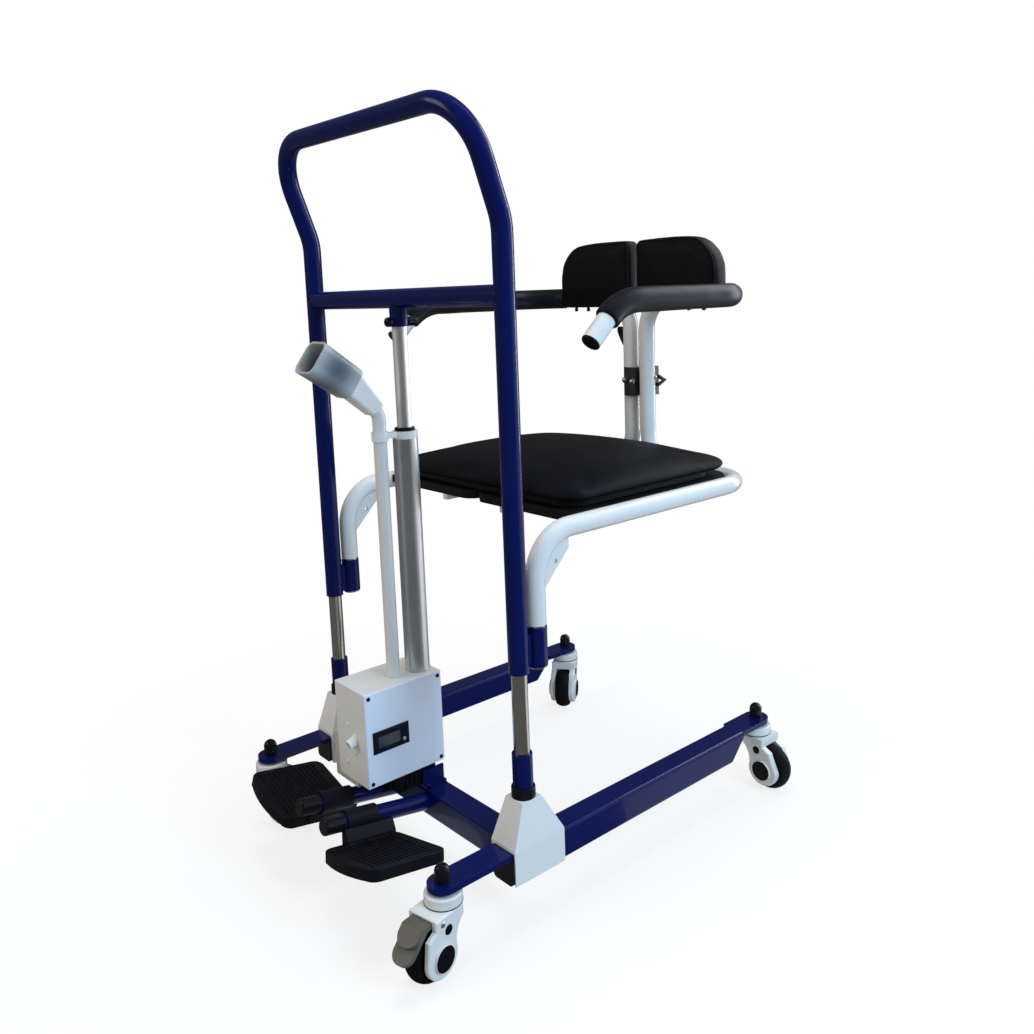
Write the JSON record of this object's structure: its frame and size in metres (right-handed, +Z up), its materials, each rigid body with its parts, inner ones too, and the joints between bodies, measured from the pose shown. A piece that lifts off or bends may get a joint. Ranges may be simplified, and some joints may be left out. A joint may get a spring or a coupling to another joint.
{
  "type": "sit to stand lift",
  "caption": "Powered sit-to-stand transfer lift: wheeled U-base, raising handle frame, seat halves that swing open, cushion, foam arms, footplates and cup.",
  "frame": {"origin": "centre of the footprint on the floor, under the middle of the overall box at rest", "axes": "+Z up; the seated user faces -Y, towards the handle and footplates; +X is the user's left; the mid-plane of the frame is at x = -0.019 m"},
  "size_m": [0.5677, 0.7731, 1.1],
  "materials": {
    "blue_paint": "gloss powder coat, royal blue",
    "white_paint": "gloss powder coat, warm white",
    "white_plastic": "moulded, light texture",
    "grey_plastic": "moulded, light warm grey",
    "black_plastic": "moulded, fine grain",
    "seat_board": "black laminated board",
    "chrome": "polished",
    "steel": "turned",
    "aluminium": "satin anodised",
    "pedal_plastic": "moulded, olive grey",
    "tyre": "soft thermoplastic tread",
    "cup_plastic": "frosted translucent",
    "display_glass": "clear window over a grey display",
    "vinyl": "black upholstery vinyl, fine grain",
    "foam": "closed-cell foam sleeve"
  },
  "bodies": {
    "base": {"base_cross_tube": "blue_paint", "base_leg_left": "blue_paint", "base_leg_right": "blue_paint", "tube_end_plugs": "black_plastic", "column_shrouds": "white_paint", "column_sockets": "blue_paint", "socket_collars": "black_plastic", "guide_tubes": "chrome", "caster_dome_nuts": "black_plastic", "caster_bearing_rings": "white_plastic", "caster_stem_bolts": "chrome", "motor_bracket": "blue_paint", "steel_screws": "chrome", "lift_motor": "black_plastic", "box_body": "white_plastic", "box_lid": "white_plastic", "display_bezel": "black_plastic", "display_window": "display_glass", "charge_socket": "white_plastic", "battery_pack": "grey_plastic", "actuator_outer_tube": "aluminium", "actuator_cap": "white_plastic", "actuator_wiper": "black_plastic", "lead_screw": "steel", "cup_pole": "white_paint", "cup_neck": "white_plastic", "accessory_cup": "cup_plastic"},
    "lift_frame": {"handle_frame": "blue_paint", "handle_crossbar": "blue_paint", "rod_bolt": "black_plastic", "actuator_rod": "aluminium", "post_bushings": "black_plastic", "pivot_rings": "chrome"},
    "seat_half_left": {"seat_frame_left": "white_paint", "seat_board_left": "seat_board", "back_pad_left": "vinyl", "arm_grip_left": "foam", "arm_plug_left": "black_plastic", "latch_plate": "black_plastic"},
    "seat_half_right": {"seat_frame_right": "white_paint", "seat_board_right": "seat_board", "back_pad_right": "vinyl", "arm_grip_right": "foam", "arm_plug_right": "black_plastic", "latch_block": "black_plastic"},
    "latch_lever": {"latch_lever": "black_plastic"},
    "cushion": {"cushion": "vinyl"},
    "display_button": {"display_button": "black_plastic"},
    "footplate_left": {"footplate_left": "black_plastic"},
    "footplate_right": {"footplate_right": "black_plastic"},
    "caster_fork_front_left": {"caster_fork_front_left": "white_plastic"},
    "caster_wheel_front_left": {"caster_wheel_front_left": "tyre"},
    "brake_pedal_front_left": {"brake_pedal_front_left": "pedal_plastic"},
    "caster_fork_rear_left": {"caster_fork_rear_left": "white_plastic"},
    "caster_wheel_rear_left": {"caster_wheel_rear_left": "tyre"},
    "caster_fork_rear_right": {"caster_fork_rear_right": "white_plastic"},
    "caster_wheel_rear_right": {"caster_wheel_rear_right": "tyre"},
    "caster_fork_front_right": {"caster_fork_front_right": "white_plastic"},
    "caster_wheel_front_right": {"caster_wheel_front_right": "tyre"},
    "brake_pedal_front_right": {"brake_pedal_front_right": "pedal_plastic"}
  },
  "joints": [
    {"name": "lift_slide", "type": "slide", "parent": "base", "child": "lift_frame", "axis": [0, 0, 1], "range_m": [-0.105, 0.045]},
    {"name": "seat_swing_left", "type": "hinge", "parent": "lift_frame", "child": "seat_half_left", "pos_m": [0.221, -0.132, 0.382], "axis": [0, 0, -1], "range_deg": [0, 90]},
    {"name": "seat_swing_right", "type": "hinge", "parent": "lift_frame", "child": "seat_half_right", "pos_m": [-0.259, -0.132, 0.382], "axis": [0, 0, 1], "range_deg": [0, 90]},
    {"name": "latch_turn", "type": "hinge", "parent": "seat_half_right", "child": "latch_lever", "pos_m": [-0.038, 0.3623, 0.6835], "axis": [0, -1, 0], "range_deg": [0, 40]},
    {"name": "cushion_lift", "type": "slide", "parent": "lift_frame", "child": "cushion", "axis": [0, 0, 1], "range_m": [0, 0.12]},
    {"name": "button_press", "type": "slide", "parent": "base", "child": "display_button", "axis": [-1, 0, 0], "range_m": [0, 0.0012], "stiffness_N_per_m": 400},
    {"name": "footplate_flip_left", "type": "hinge", "parent": "base", "child": "footplate_left", "pos_m": [0.016, -0.185, 0.0965], "axis": [0, -0.9851, 0.1719], "range_deg": [0, 85]},
    {"name": "footplate_flip_right", "type": "hinge", "parent": "base", "child": "footplate_right", "pos_m": [-0.054, -0.185, 0.0965], "axis": [0, 0.9851, -0.1719], "range_deg": [0, 50]},
    {"name": "swivel_front_left", "type": "hinge", "parent": "base", "child": "caster_fork_front_left", "pos_m": [0.219, -0.302, 0.0907], "axis": [0, 0, 1], "continuous": true},
    {"name": "roll_front_left", "type": "hinge", "parent": "caster_fork_front_left", "child": "caster_wheel_front_left", "pos_m": [0.22478, -0.33042, 0.0375], "axis": [0.9799, 0.1994, 0], "continuous": true},
    {"name": "brake_front_left", "type": "hinge", "parent": "caster_fork_front_left", "child": "brake_pedal_front_left", "pos_m": [0.22458, -0.32944, 0.0817], "axis": [0.9799, 0.1994, 0], "range_deg": [0, 6]},
    {"name": "swivel_rear_left", "type": "hinge", "parent": "base", "child": "caster_fork_rear_left", "pos_m": [0.219, 0.36, 0.0907], "axis": [0, 0, 1], "continuous": true},
    {"name": "roll_rear_left", "type": "hinge", "parent": "caster_fork_rear_left", "child": "caster_wheel_rear_left", "pos_m": [0.248, 0.36, 0.0375], "axis": [0, 1, 0], "continuous": true},
    {"name": "swivel_rear_right", "type": "hinge", "parent": "base", "child": "caster_fork_rear_right", "pos_m": [-0.257, 0.36, 0.0907], "axis": [0, 0, 1], "continuous": true},
    {"name": "roll_rear_right", "type": "hinge", "parent": "caster_fork_rear_right", "child": "caster_wheel_rear_right", "pos_m": [-0.23955, 0.33684, 0.0375], "axis": [0.7986, 0.6018, 0], "continuous": true},
    {"name": "swivel_front_right", "type": "hinge", "parent": "base", "child": "caster_fork_front_right", "pos_m": [-0.257, -0.302, 0.0907], "axis": [0, 0, 1], "continuous": true},
    {"name": "roll_front_right", "type": "hinge", "parent": "caster_fork_front_right", "child": "caster_wheel_front_right", "pos_m": [-0.23051, -0.2902, 0.0375], "axis": [-0.4067, 0.9135, 0], "continuous": true},
    {"name": "brake_front_right", "type": "hinge", "parent": "caster_fork_front_right", "child": "brake_pedal_front_right", "pos_m": [-0.23142, -0.29061, 0.0817], "axis": [-0.4067, 0.9135, 0], "range_deg": [0, 6]}
  ]
}
